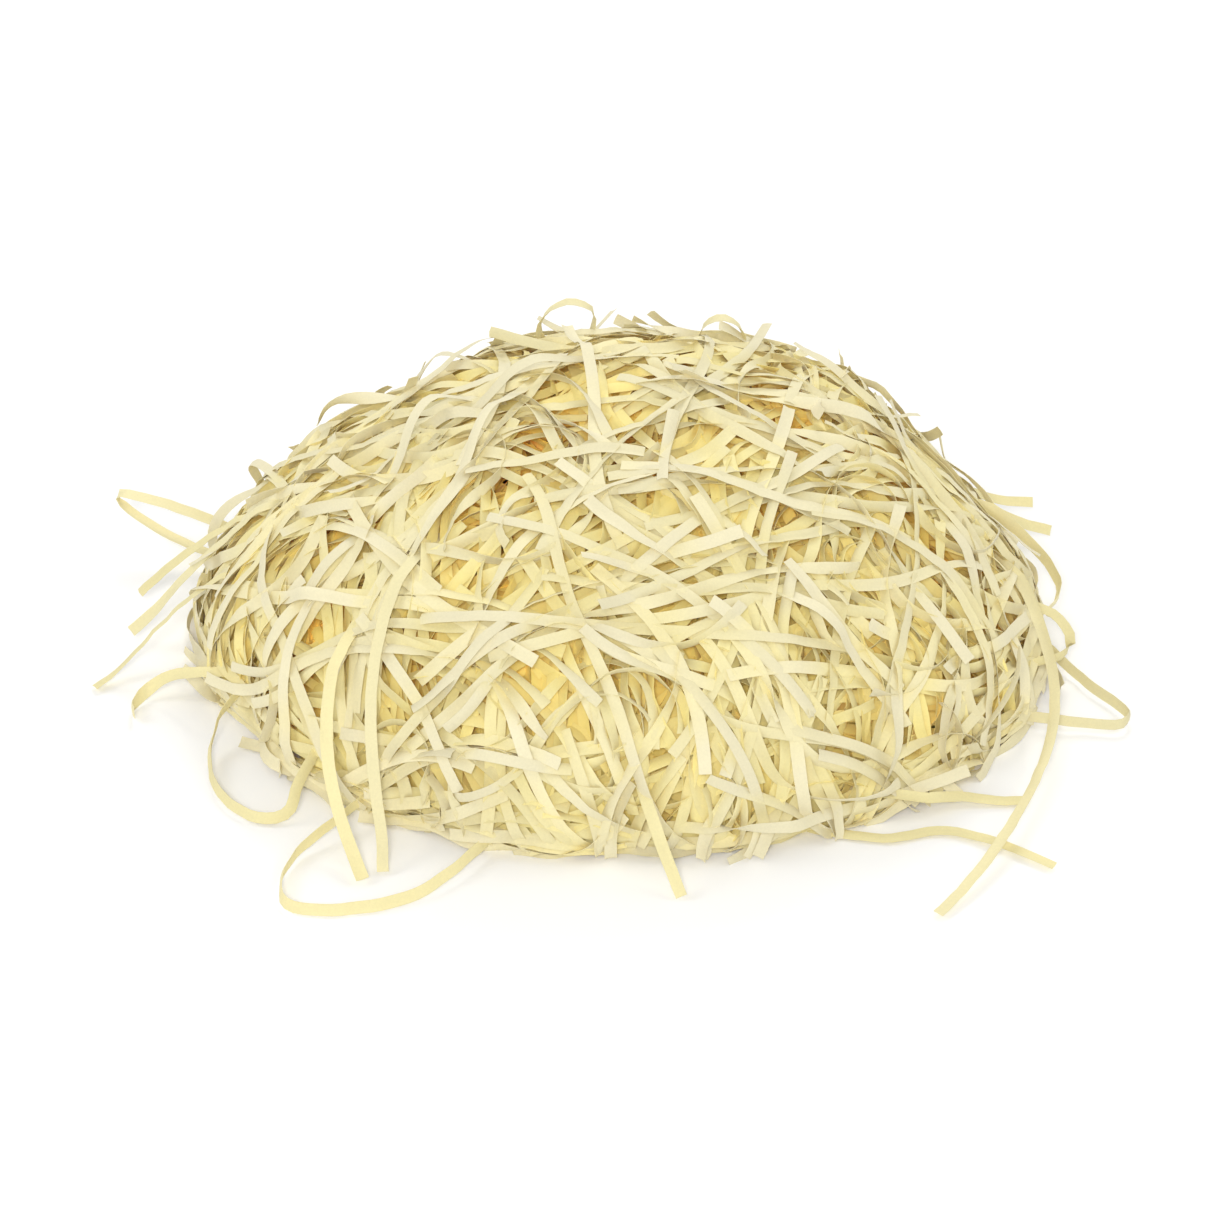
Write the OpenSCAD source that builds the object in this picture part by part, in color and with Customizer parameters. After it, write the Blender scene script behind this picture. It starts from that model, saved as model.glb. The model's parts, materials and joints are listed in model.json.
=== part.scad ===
// A loose mound of shredded tissue paper, the grass that fills an easter basket.
// The mound stands on the plane z = 0 with its middle at the origin, and its front is towards -Y.
// A packed tangle fills the middle. Layers of shreds lie over it like shingles, each layer in its
// own direction, and loose shreds stand out of the mound or lie on the surface beside it.
// Places on the mound are given as [slope, heading, out]: slope is 0 at the top of the mound and
// 90 at its foot, heading is 0 at the right and 90 at the back, and out is the distance in
// millimetres from the outermost layer.

/* [Mound] */
// Width of the mound over its outermost layer
mound_w = 240; // [195:1:300]
// Depth of the mound over its outermost layer, front to back
mound_d = 206; // [168:1:255]
// Height of the mound over its outermost layer
mound_h = 78; // [63:1:100]
// How the mound falls away: 1 is a round dome and 1.6 is nearly a cone
crest = 1.25; // [1:0.05:1.6]

/* [Shreds] */
// Width that the shreds are cut to
shred_w = 3.5; // [2:0.1:4.2]
// Thickness of a shred with its crinkle
shred_t = 0.2; // [0.1:0.05:0.4]

/* [Layers] */
// Distance from one layer of shreds to the next
layer_gap = 1.4; // [1:0.1:2.5]
// Shreds that run straight down each side of the mound
drape_count = 12; // [6:2:12]
// Shreds that run down each side aslant
slant_count = 10; // [6:2:10]
// Turn of a slanting shred around the mound, in degrees
slant_turn = 46; // [20:1:60]
// Shreds across the top, in each of two layers
crown_count = 11; // [5:2:11]
// Distance between shreds across the top
crown_pitch = 6.8; // [5.5:0.1:8]
// Length of a shred across the top
crown_length = 92; // [60:1:110]
// Shreds in each of the two rows around the foot
foot_count = 8; // [5:1:9]

/* [Loose shreds] */
// Least distance of a loose shred from the layers
loose_gap = 1; // [0.5:0.1:3]

/* [Hidden] */
SIDES = ["right", "back", "left", "front"];
LAYERED = ["drape", "slant", "counter_slant"];
LAYER_NODES = [for (layer = LAYERED) for (side = SIDES) str(side, "_", layer, "_shreds")];

// Layers from the tangle outwards: foot, drape, slant, counter slant, lower crown, upper crown
layer_count = 6;
// The tangle ends half a layer under the innermost shreds
tangle_out = -(layer_count + 0.5) * layer_gap;
tangle_rings = 11;
tangle_spokes = 40;
// Quarter of the mound that one node of a layer covers
quarter = 90;
// Steps along a shred of a layer
layer_steps = 9;
// Steps between two rows of a loose shred
loose_steps = 4;
// Lowest slope of a shred that runs down the mound, short of the surface that it stands on
foot_slope = 88;
// Slopes of the rows around the foot, with each shred standing on its edge clear of the surface
foot_rows = [85.5, 80];
// Share of its place that a shred around the foot fills
foot_fill = 0.86;
// Least distance of a loose shred from the surface that the mound stands on
floor_gap = 0.1;
// No corner of a shred lies lower than this, whatever the sizes
lowest_corner = 0.02;
// Every other shred that runs down a side starts lower, where the mound has room for it
stagger = 14;
core_colour = "moccasin";
inner_colour = "wheat";
shred_colour = "lemonchiffon";
pale_colour = "ivory";

// ---------- Places and directions ----------

function unit(v) = v / norm(v);

// Half sizes of the mound, with out added to each
function half_sizes(out) = [mound_w / 2 + out, mound_d / 2 + out, mound_h + out];

// The point at a place [slope, heading, out]
function at(place) =
    let (s = half_sizes(place[2]), a = place[0], h = place[1])
    [s[0] * sin(a) * cos(h), s[1] * sin(a) * sin(h), s[2] * pow(cos(a), crest)];

// The direction straight out of the mound at a place
function outward(place) =
    let (s = half_sizes(place[2]), a = place[0], h = place[1])
    unit([
        sin(a) * cos(h) / s[0],
        sin(a) * sin(h) / s[1],
        pow(cos(a), 2 - crest) / (crest * s[2])
    ]);

// The slope and heading under a point of the plan, at a distance out
function under(x, y, out) =
    let (s = half_sizes(out), u = x / s[0], v = y / s[1])
    [asin(min(0.99, norm([u, v]))), atan2(v, u), out];

// How far out a layer lies
function layer_out(layer) = -(layer_count - layer) * layer_gap;

// ---------- Ribbons ----------

// The direction of a line of points at point i
function along(points, i) =
    unit(points[min(i + 1, len(points) - 1)] - points[max(i - 1, 0)]);

// The part of v that is square to the unit vector t, as a unit vector
function square_to(v, t) = unit(v - (v * t) * t);

// The four corners of a ribbon's section at each of its points, where sides gives the
// direction of its width there
function ribbon_corners(points, sides) = [
    for (i = [0:len(points) - 1])
        let (
            t = along(points, i),
            half_w = square_to(sides[i], t) * shred_w / 2,
            half_t = unit(cross(t, half_w)) * shred_t / 2
        )
        each [
            kept_up(points[i] + half_w + half_t),
            kept_up(points[i] - half_w + half_t),
            kept_up(points[i] - half_w - half_t),
            kept_up(points[i] + half_w - half_t)
        ]
];

// The corner, no lower than lowest_corner
function kept_up(corner) = [corner[0], corner[1], max(corner[2], lowest_corner)];

// The faces of a ribbon of so many sections whose first corner has the number first
function ribbon_faces(sections, first) = concat(
    [[for (k = [0:3]) first + k]],
    [[for (k = [3:-1:0]) first + 4 * (sections - 1) + k]],
    [
        for (i = [0:sections - 2])
            for (k = [0:3])
                let (a = first + 4 * i + k, b = first + 4 * i + (k + 1) % 4)
                each [[a, a + 4, b + 4], [a, b + 4, b]]
    ]
);

// Several ribbons that don't touch, each as [points, sides], with the same number of points
module ribbons(lines) {
    sections = len(lines[0][0]);
    polyhedron(
        points = [for (line = lines) each ribbon_corners(line[0], line[1])],
        faces = [for (n = [0:len(lines) - 1]) each ribbon_faces(sections, 4 * sections * n)],
        convexity = 10
    );
}

// A line of places as [points, sides], lying flat on the mound
function laid_flat(places) =
    let (points = [for (place = places) at(place)])
    [
        points,
        [for (i = [0:len(places) - 1]) cross(outward(places[i]), along(points, i))]
    ];

// ---------- The tangle ----------

// The packed middle of the mound, hundreds of shreds that can't be told apart
module packed_tangle() {
    spoke = 360 / tangle_spokes;
    slopes = [for (r = [1:tangle_rings]) 90 * r / tangle_rings];
    points = concat(
        [at([0, 0, tangle_out])],
        [for (a = slopes) for (n = [0:tangle_spokes - 1]) at([a, n * spoke, tangle_out])]
    );
    last = 1 + (tangle_rings - 1) * tangle_spokes;
    crown = [for (n = [0:tangle_spokes - 1]) [0, 1 + (n + 1) % tangle_spokes, 1 + n]];
    walls = [
        for (r = [0:tangle_rings - 2])
            for (n = [0:tangle_spokes - 1])
                let (
                    a = 1 + r * tangle_spokes + n,
                    b = 1 + r * tangle_spokes + (n + 1) % tangle_spokes
                )
                each [[a, b, b + tangle_spokes], [a, b + tangle_spokes, a + tangle_spokes]]
    ];
    base = [[for (n = [0:tangle_spokes - 1]) last + n]];
    color(core_colour)
        polyhedron(points = points, faces = concat(crown, walls, base), convexity = 2);
}

// ---------- Layers of shreds ----------

// Shreds around the foot of the mound, standing on edge, in one row
module foot_shreds(row) {
    place_w = 360 / foot_count;
    starts = rands(-4, 4, foot_count, 31 + row);
    color(inner_colour)
        ribbons([
            for (n = [0:foot_count - 1])
                laid_flat([
                    for (i = [0:layer_steps])
                        [
                            foot_rows[row],
                            place_w * (n + 0.5 * row + foot_fill * i / layer_steps) + starts[n],
                            layer_out(0)
                        ]
                ])
        ]);
}

// Shreds down one side of the mound in one layer, all with the same turn and the same sway
module flank_shreds(side, layer, count, turn, top, seed) {
    starts = rands(-6, 8, count, seed);
    ends = rands(-15, 0, count, seed + 1);
    shifts = rands(-0.8, 0.8, count, seed + 2);
    color(layer == 1 ? inner_colour : shred_colour)
        ribbons([
            for (n = [0:count - 1])
                let (
                    middle = quarter * (side - 0.5 + (n + 0.5) / count) + shifts[n],
                    first = top + starts[n] + stagger * (n % 2),
                    last = foot_slope + ends[n]
                )
                laid_flat([
                    for (i = [0:layer_steps])
                        let (slope = first + (last - first) * i / layer_steps)
                        [
                            slope,
                            middle + turn * (slope - 58) / 60 + 3 * sin(6 * slope),
                            layer_out(layer)
                        ]
                ])
        ]);
}

module drape_shreds(side) flank_shreds(side, 1, drape_count, 8, 26, 40 + 3 * side);

module slant_shreds(side) flank_shreds(side, 2, slant_count, slant_turn, 33, 60 + 3 * side);

module counter_slant_shreds(side)
    flank_shreds(side, 3, slant_count, -slant_turn, 31, 80 + 3 * side);

// Shreds across the top of the mound in one layer, side by side at an angle to the front
module crown_shreds(layer, angle, seed) {
    shifts = rands(-14, 14, crown_count, seed);
    trims = rands(0.6, 1, crown_count, seed + 1);
    color(layer == 4 ? shred_colour : pale_colour)
        ribbons([
            for (n = [0:crown_count - 1])
                let (aside = (n - (crown_count - 1) / 2) * crown_pitch)
                laid_flat([
                    for (i = [0:layer_steps])
                        let (s = shifts[n] + (i / layer_steps - 0.5) * crown_length * trims[n])
                        under(
                            s * cos(angle) - aside * sin(angle),
                            s * sin(angle) + aside * cos(angle),
                            layer_out(layer)
                        )
                ])
        ]);
}

// ---------- Loose shreds ----------

// A point on a smooth curve through rows of numbers, at share t of the way from row i to i + 1
function on_curve(rows, i, t) =
    let (
        last = len(rows) - 1,
        b = rows[i],
        c = rows[i + 1],
        a = i > 0 ? rows[i - 1] : 2 * b - c,
        d = i < last - 1 ? rows[i + 2] : 2 * c - b
    )
    b + t * ((c - a) / 2 + t * (a - 2.5 * b + 2 * c - d / 2 + t * (1.5 * (b - c) + (d - a) / 2)));

// The point, raised until a shred with its width in the direction side clears the surface there
function above_floor(point, side) =
    [point[0], point[1], max(point[2], (shred_w * abs(unit(side)[2]) + shred_t) / 2 + floor_gap)];

// One loose shred through places on or off the mound, whose width turns from the direction
// first_side to last_side along it
module loose_shred(places, first_side, last_side) {
    spans = len(places) - 1;
    rows = concat(
        [for (i = [0:spans - 1]) for (j = [0:loose_steps - 1]) on_curve(places, i, j / loose_steps)],
        [places[spans]]
    );
    sides = [
        for (i = [0:len(rows) - 1])
            let (t = i / (len(rows) - 1))
            first_side * (1 - t) + last_side * t
    ];
    points = [
        for (i = [0:len(rows) - 1])
            above_floor(at([rows[i][0], rows[i][1], max(loose_gap, rows[i][2])]), sides[i])
    ];
    ribbons([[points, sides]]);
}

// A free loop that stands on the back of the crown, left of the middle
module top_left_loop() {
    places = [[33, 109, 2.5], [30, 109, 9.5], [28.5, 102.5, 13.5], [28.5, 96, 10], [31, 97, 2.5]];
    color(pale_colour) loose_shred(places, [0.7, 1, 0], [-0.5, 1, 0.2]);
}

// A free loop that stands on the back of the crown, right of the middle
module top_right_loop() {
    places = [[31, 69, 2], [29, 67, 8], [28.5, 62, 12], [30.5, 57.5, 9], [33, 58.5, 2.5]];
    color(pale_colour) loose_shred(places, [0.5, 1, 0], [-0.7, 1, 0.2]);
}

// The flat end of a shred that lies over the crown and stands off it at the left
module top_left_end() {
    places = [[20, 103, 2], [23, 111, 3], [27, 118, 5.5], [31, 122.5, 9]];
    color(pale_colour) loose_shred(places, [0.3, 1, 0.3], [0, 0.6, 0.8]);
}

// A long hairpin that stands straight out of the mound at the left
module left_hairpin_loop() {
    places = [
        [80, 157.5, 2], [78, 158.5, 12], [77, 159.5, 27], [77.5, 160.3, 38],
        [80, 161, 29], [82.5, 161.5, 15], [84.5, 161.5, 2]
    ];
    color(pale_colour) loose_shred(places, [0, 1, 0.4], [0, 1, 0]);
}

// The end of a shred that falls away from the left flank, above the others
module left_upper_end() {
    places = [[61, 171, 1.5], [68, 172, 6], [74, 173.5, 11], [81.5, 175, 17]];
    color(shred_colour) loose_shred(places, [0, 1, 0], [0.2, 0.6, 0.7]);
}

// The broad side of a shred that falls away from the left flank
module left_broad_end() {
    places = [[54, 176, 3], [62, 177.5, 4], [70, 179.5, 7.5], [78, 181, 11.5], [83.5, 182, 17]];
    color(pale_colour) loose_shred(places, [0.2, 1, 0.2], [0.3, 0.5, 0.8]);
}

// The end of a shred that reaches from the left flank down to the surface, furthest out
module left_low_end() {
    places = [[64, 185, 2], [72, 185.5, 8], [81, 187, 15], [86, 188.5, 21], [88.4, 190, 27]];
    color(shred_colour) loose_shred(places, [0.1, 1, 0], [0.3, 1, 0.1]);
}

// A short end with a curl, low at the left
module left_curled_end() {
    places = [[77, 197, 1.5], [81.5, 193.5, 7], [86, 193, 13], [87.5, 195, 18], [86, 197.5, 19]];
    color(shred_colour) loose_shred(places, [0.1, 1, 0.3], [0, 0.2, 1]);
}

// A curl that touches the surface at the front left
module front_left_curl() {
    places = [
        [79, 206, 1.5], [85, 209, 6], [86.7, 216, 12], [86.7, 223, 12], [85.5, 226, 6], [80, 225, 1.5]
    ];
    color(shred_colour) loose_shred(places, [0.4, 0.4, 1], [-0.2, 0.6, 0.8]);
}

// A wide loop that lies on the surface in front of the mound, at the left
module front_left_table_loop() {
    places = [
        [83, 232.5, 2], [86.4, 231.5, 14], [87, 233, 25], [87.2, 235.5, 32],
        [87.3, 238.5, 31], [87.2, 243, 24], [87, 247, 15], [85.5, 249.5, 6]
    ];
    color(shred_colour) loose_shred(places, [0.3, 0.3, 1], [0, 0.5, 1]);
}

// A straight pale shred that leans on the flank with its end on the surface
module front_left_straight_end() {
    places = [[40, 223, 2], [54, 230, 2.5], [68, 236, 3], [80, 240, 5], [88, 241.7, 9]];
    color(pale_colour) loose_shred(places, [1, -0.3, 0], [1, 0, 0]);
}

// A shred that stands off the flank and slants down to the surface
module front_left_slanting_end() {
    places = [[56, 224, 5], [67, 229.5, 7], [77, 234.5, 8.5], [83.5, 238, 11], [87.4, 240.5, 14.5]];
    color(shred_colour) loose_shred(places, [1, -0.6, 0], [1, 0.3, 0]);
}

// A short wisp that hangs down the middle of the front
module front_wisp() {
    places = [[74, 275, 1.5], [82, 276.5, 2.5], [88, 277.5, 6]];
    color(shred_colour) loose_shred(places, [1, 0.2, 0], [1, 0, 0.3]);
}

// A long shred that bows around the right flank and ends on the surface in front
module front_right_long_end() {
    places = [
        [66, -3, 2], [73, -10, 4], [78, -18, 8], [81, -26, 12], [83, -34, 16],
        [84.5, -42, 21], [86.5, -50, 27], [88.3, -57.5, 33]
    ];
    color(pale_colour) loose_shred(places, [0.5, 0.6, 0.6], [1, 0.5, 0.1]);
}

// An end that lies on the surface in front of the mound, at the right
module front_right_table_end() {
    places = [[87.5, -54, 3], [88, -48, 8], [88.2, -45, 20], [88.4, -43.5, 37]];
    color(shred_colour) loose_shred(places, [0.2, 1, 0.2], [1, 1, 0]);
}

// A short end behind the one on the surface, close to the foot
module front_right_low_end() {
    places = [[82, -47, 1.5], [85.5, -42, 3.5], [87.7, -39, 9], [88, -36.5, 15]];
    color(shred_colour) loose_shred(places, [0.2, 1, 0.2], [0.3, 1, 0]);
}

// A stiff end that stands out of the right flank towards the back
module right_upper_end() {
    places = [[74, 30, 1.5], [78.5, 28, 8], [80.5, 26, 17]];
    color(shred_colour) loose_shred(places, [0.2, 1, 0], [0, 0.8, 0.6]);
}

// A second end beside it, nearer the front
module right_lower_end() {
    places = [[73, 23.5, 1.5], [79, 22, 8], [83, 21, 16]];
    color(shred_colour) loose_shred(places, [0.1, 1, 0.2], [0, 0.6, 0.8]);
}

// A shred that bows along the right flank
module right_arc() {
    places = [[69, 19, 1.5], [74.5, 14.5, 5], [78, 9, 8], [79, 4, 7.5], [78.5, 0, 3.5]];
    color(pale_colour) loose_shred(places, [0.3, 0.2, 1], [0.4, -0.2, 1]);
}

// A shred that lies on the surface at the right, folded sharply on itself
module right_folded_shred() {
    places = [
        [84, -5.5, 2], [86.6, -8, 7], [87, -12, 15], [87.2, -15.5, 25], [87, -17.3, 26.5],
        [86.8, -18.8, 24], [86.6, -19.8, 14], [85.5, -21, 5]
    ];
    color(pale_colour) loose_shred(places, [0.3, 0.5, 1], [0, 0.5, 1]);
}

// A small loop low on the right flank
module right_small_loop() {
    places = [[73, -3.5, 2], [75.5, -4.5, 6.5], [79, -6.5, 9], [81.5, -8.5, 7], [80.5, -11, 2.5]];
    color(shred_colour) loose_shred(places, [0.3, 1, 0.3], [0.5, 0.3, 1]);
}

// A loop that stands out of the back of the mound, left of the middle
module back_left_loop() {
    places = [[76, 122, 2], [77.5, 121, 9], [79, 118, 14], [81.5, 115, 9.5], [82, 114, 2]];
    color(shred_colour) loose_shred(places, [1, 0.5, 0.3], [1, -0.3, 0.5]);
}

// An end that reaches from the back of the mound down to the surface
module back_right_end() {
    places = [[66, 70, 1.5], [75, 69, 5], [83, 67, 9], [87, 64.5, 15]];
    color(shred_colour) loose_shred(places, [1, 0, 0.2], [1, 0.4, 0]);
}

// ---------- The mound ----------

packed_tangle();
foot_shreds(0);  // lower_foot_shreds
foot_shreds(1);  // upper_foot_shreds
for (side = [0:3]) {
    drape_shreds(side);
    slant_shreds(side);
    counter_slant_shreds(side);
}
crown_shreds(4, 14, 21);  // lower_crown_shreds
crown_shreds(5, -28, 25);  // upper_crown_shreds
top_left_loop();
top_right_loop();
top_left_end();
left_hairpin_loop();
left_upper_end();
left_broad_end();
left_low_end();
left_curled_end();
front_left_curl();
front_left_table_loop();
front_left_straight_end();
front_left_slanting_end();
front_wisp();
front_right_long_end();
front_right_table_end();
front_right_low_end();
right_upper_end();
right_lower_end();
right_arc();
right_folded_shred();
right_small_loop();
back_left_loop();
back_right_end();
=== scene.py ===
"""A loose mound of cream shredded tissue paper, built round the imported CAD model.

About two thousand paper shreds are laid one after another on the mound. Each one rests on those
below it, bridges the gaps between them and turns as paper does. Then the pile is pressed to its
depth, and the outer shreds spring up from it. They are sorted into the same groups as the CAD's
nodes. The loose shreds round the mound follow the CAD's own places.
Lengths are in millimetres until a mesh is made. A place on the mound is slope (0 at the top, 90 at
the foot), heading (0 at the right, 90 at the back) and out, the distance from the outermost layer.
"""

import json
import math

import bpy
import numpy as np
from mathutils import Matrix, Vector

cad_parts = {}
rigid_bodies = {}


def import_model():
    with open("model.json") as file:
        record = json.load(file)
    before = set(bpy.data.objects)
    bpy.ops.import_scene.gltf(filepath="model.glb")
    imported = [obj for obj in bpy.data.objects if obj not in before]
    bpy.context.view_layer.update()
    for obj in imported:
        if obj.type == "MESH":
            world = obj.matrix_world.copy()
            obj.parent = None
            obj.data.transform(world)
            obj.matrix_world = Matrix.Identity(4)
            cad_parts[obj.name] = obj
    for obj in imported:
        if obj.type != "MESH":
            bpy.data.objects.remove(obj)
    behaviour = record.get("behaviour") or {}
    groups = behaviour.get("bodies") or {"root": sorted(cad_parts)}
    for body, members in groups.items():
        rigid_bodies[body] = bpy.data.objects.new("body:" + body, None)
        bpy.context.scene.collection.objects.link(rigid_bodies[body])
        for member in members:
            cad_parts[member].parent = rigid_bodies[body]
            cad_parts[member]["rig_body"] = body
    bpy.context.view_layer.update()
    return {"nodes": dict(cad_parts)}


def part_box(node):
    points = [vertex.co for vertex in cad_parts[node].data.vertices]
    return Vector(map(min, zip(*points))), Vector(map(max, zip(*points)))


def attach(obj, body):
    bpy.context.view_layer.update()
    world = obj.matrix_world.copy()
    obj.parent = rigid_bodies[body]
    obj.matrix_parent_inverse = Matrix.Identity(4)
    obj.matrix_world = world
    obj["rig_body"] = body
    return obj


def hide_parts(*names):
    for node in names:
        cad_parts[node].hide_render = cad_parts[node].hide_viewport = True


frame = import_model()

MM = 0.001
rng = np.random.default_rng(20)

# The mound, as the CAD has it
TANGLE_DEPTH = 9.1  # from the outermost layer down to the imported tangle
CREST = 1.25  # how the mound falls away from its top
tangle_low, tangle_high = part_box("packed_tangle")
HALF = TANGLE_DEPTH + np.array([
    (tangle_high.x - tangle_low.x) / 2,
    (tangle_high.y - tangle_low.y) / 2,
    tangle_high.z,
]) / MM

# The shreds
SHREDS = 2200  # laid at random, without the topmost ones
SHRED_W = 3.5
SHRED_T = 0.1
STEP = 2.5  # from one section of a shred to the next
LONGEST = 68  # most steps in a shred of the heap
SHORTEST = 8  # fewest sections
TRIES = 3  # places tried for each shred of the heap

# The field that keeps how far out the pile has grown, on a chart of slope and heading
CHART_HALF = 100.0
CHART_CELL = 0.5
CHART_N = int(2 * CHART_HALF / CHART_CELL)
PILE = 14.0  # depth of the pile of shreds once it has settled
HIGHEST = 84.0  # no shred's centre line goes higher
TILT_ROOM = 0.35  # share of a tilted shred's height that the shreds beside it make room for
PILE_EDGE = 89.0  # slope up to which the pile's height is averaged

# The foot of the heap, by slope
LAST_SLOPE = 88.6  # a shred ends before it goes lower
TURN_FROM, TURN_OVER = 76, 12  # where shreds that come down begin to turn along the foot
TURN_SHARE = 0.35  # how much of its way down such a shred loses at each step, at most


# ---------- Places and directions ----------

def unit(v):
    return v / np.maximum(np.linalg.norm(v, axis=-1, keepdims=True), 1e-9)


def at(slope, heading, out):
    """The points at places."""
    a, h = np.radians(slope), np.radians(heading)
    half = HALF + np.asarray(out)[..., None]
    rise = np.maximum(np.cos(a), 0.0) ** CREST
    return half * np.stack([np.sin(a) * np.cos(h), np.sin(a) * np.sin(h), rise], -1)


def outward(slope, heading):
    """The directions straight out of the mound."""
    a, h = np.radians(slope), np.radians(heading)
    rise = np.maximum(np.cos(a), 0.0) ** (2 - CREST) / CREST
    return unit(np.stack([np.sin(a) * np.cos(h), np.sin(a) * np.sin(h), rise], -1) / HALF)


def place_of(points):
    """The slopes and headings of points near the mound."""
    u = points / HALF
    rise = np.maximum(u[..., 2], 0.0) ** (1 / CREST)
    slope = np.degrees(np.arctan2(np.hypot(u[..., 0], u[..., 1]), rise))
    return slope, np.degrees(np.arctan2(u[..., 1], u[..., 0]))


def downhill(slope, heading):
    """The directions straight down the mound."""
    return unit(at(slope + 0.5, heading, 0 * slope) - at(slope - 0.5, heading, 0 * slope))


def cells(points):
    """The field's cells under points."""
    slope, heading = place_of(points)
    h = np.radians(heading)
    i = ((slope * np.cos(h) + CHART_HALF) / CHART_CELL).astype(int)
    j = ((slope * np.sin(h) + CHART_HALF) / CHART_CELL).astype(int)
    return np.clip(i, 0, CHART_N - 1), np.clip(j, 0, CHART_N - 1)


def waves(s, pitch, size, count=3):
    """Smooth random waves along s, about size high and with crests about pitch apart."""
    total = np.zeros_like(s)
    for _ in range(count):
        total += np.sin(2 * np.pi * s / (pitch * rng.uniform(0.7, 1.6)) + rng.uniform(0, 2 * np.pi))
    return total * size / math.sqrt(count / 2)


# ---------- The bulk of the heap ----------

def bump(x, middle, width):
    return np.exp(-((x - middle) / width) ** 2)


# Where the heap's surface swells or is drawn in: how far, then the middle and the width of the
# place along x and along y, with 1 for half the mound
CROWN = [
    (4.0, 0.02, 0.34, 0.5, 0.45),
    (4.5, 0.38, 0.25, 0.5, 0.4),
    (3.0, -0.3, 0.15, 0.5, 0.4),
]
FLANKS = [
    (-3.0, -0.5, 0.22, 0.45, 0.5),
    (2.5, -0.78, 0.2, 0.2, 0.5),
    (4.0, 0.62, 0.25, 0.4, 0.4),
]
# The same where only the foot is drawn in: the front, and its left corner
FOOT = [
    (-14.0, -0.05, 0.8, -1.0, 0.5),
    (-11.0, -0.9, 0.3, -0.45, 0.4),
]
FOOT_FROM, FOOT_OVER = 55, 35  # the slopes over which the foot is drawn in
PRESSED = 1.5  # the whole surface lies this much lower, to make up for the swells


def swells(table, x, y):
    return sum(
        height * bump(x, middle_x, width_x) * bump(y, middle_y, width_y)
        for height, middle_x, width_x, middle_y, width_y in table
    )


def swell(slope, heading):
    """How far the heap's surface stands off the smooth mound: lumps of three sizes, a broad crown,
    a straight left flank, and a front that is drawn in at its foot."""
    a, h = np.radians(slope), np.radians(heading)
    x, y = np.sin(a) * np.cos(h), np.sin(a) * np.sin(h)
    lumps = 1.7 * np.sin(5.1 * x + 2.2 * y + 0.6) * np.sin(4.3 * y - 1.7 * x + 1.1)
    lumps += 1.3 * np.sin(9.3 * x - 4.4 * y + 2.0) * np.sin(7.7 * y + 3.1 * x)
    lumps += 0.8 * np.sin(17.0 * x + 6.0 * y) * np.sin(15.0 * y - 5.0 * x + 0.8)
    foot = np.clip((slope - FOOT_FROM) / FOOT_OVER, 0, 1) ** 1.5
    return lumps + swells(CROWN, x, y) + swells(FLANKS, x, y) + swells(FOOT, x, y) * foot - PRESSED


class Pile:
    """The heap's surface while shreds are laid on it."""

    def __init__(self):
        axis = (np.arange(CHART_N) + 0.5) * CHART_CELL - CHART_HALF
        p, q = np.meshgrid(axis, axis, indexing="ij")
        self.top = swell(np.hypot(p, q), np.degrees(np.arctan2(q, p)))
        self.out = np.zeros((CHART_N, CHART_N))
        self.inside = np.hypot(p, q) < PILE_EDGE

    def height(self, points):
        return self.out[cells(points)]

    def cover(self, points, out):
        np.maximum.at(self.out, cells(points), out)

    def settle(self):
        """Finds the height that the pile has reached around each cell, smoothed."""
        weight = self.inside.astype(float)
        total = self.out * weight
        for _ in range(3):
            total, weight = blurred(total), blurred(weight)
        self.reached = np.maximum(total / np.maximum(weight, 1e-6), 1.0)

    def settled(self, points, out):
        """How far out points lie, and how deep in the heap, once the pile has settled."""
        i, j = cells(points)
        depth = (1 - out / self.reached[i, j]) * PILE
        return self.top[i, j] - depth, depth


def blurred(field, reach=9):
    """The field averaged over squares of 2 * reach + 1 cells."""
    size = 2 * reach + 1
    for axis in (0, 1):
        pad = [(0, 0), (0, 0)]
        pad[axis] = (reach + 1, reach)
        total = np.cumsum(np.pad(field, pad), axis=axis)
        ahead = np.take(total, np.arange(size, size + field.shape[axis]), axis=axis)
        behind = np.take(total, np.arange(field.shape[axis]), axis=axis)
        field = (ahead - behind) / size
    return field


# ---------- Shreds ----------

def grow(slope, heading, turn, bend, half_steps):
    """Paths on the mound from their middles both ways, and whether each point is part of the shred.
    turn is the angle from downhill, and bend the curvature at each step."""
    count, steps = bend.shape
    start = at(slope, heading, 0 * slope)
    down = downhill(slope, heading)
    aside = np.cross(outward(slope, heading), down)
    first = np.cos(turn)[:, None] * down + np.sin(turn)[:, None] * aside
    sides = []
    for sign in (1, -1):
        p, t = start.copy(), sign * first
        live = np.ones(count, bool)
        points, alive = [], []
        for i in range(steps // 2):
            k = bend[:, steps // 2 + (i if sign > 0 else -1 - i)] * sign
            a, h = place_of(p)
            n = outward(a, h)
            t = t + STEP * k[:, None] * np.cross(n, t)
            d = downhill(np.clip(a, 1, 89), h)
            falls = np.maximum((t * d).sum(-1), 0) * np.clip((a - TURN_FROM) / TURN_OVER, 0, 1)
            t = unit(t - (TURN_SHARE * falls)[:, None] * d)
            t = unit(t - (t * n).sum(-1, keepdims=True) * n)
            p = p + STEP * t
            a, h = place_of(p)
            live = live & (a < LAST_SLOPE) & (i < half_steps)
            p = at(np.minimum(a, 89.5), h, 0 * a)
            points.append(p)
            alive.append(live)
        sides.append((np.stack(points, 1), np.stack(alive, 1)))
    (ahead, ahead_live), (behind, behind_live) = sides
    points = np.concatenate([behind[:, ::-1], start[:, None], ahead], 1)
    live = np.concatenate([behind_live[:, ::-1], np.ones((count, 1), bool), ahead_live], 1)
    return points, live


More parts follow.
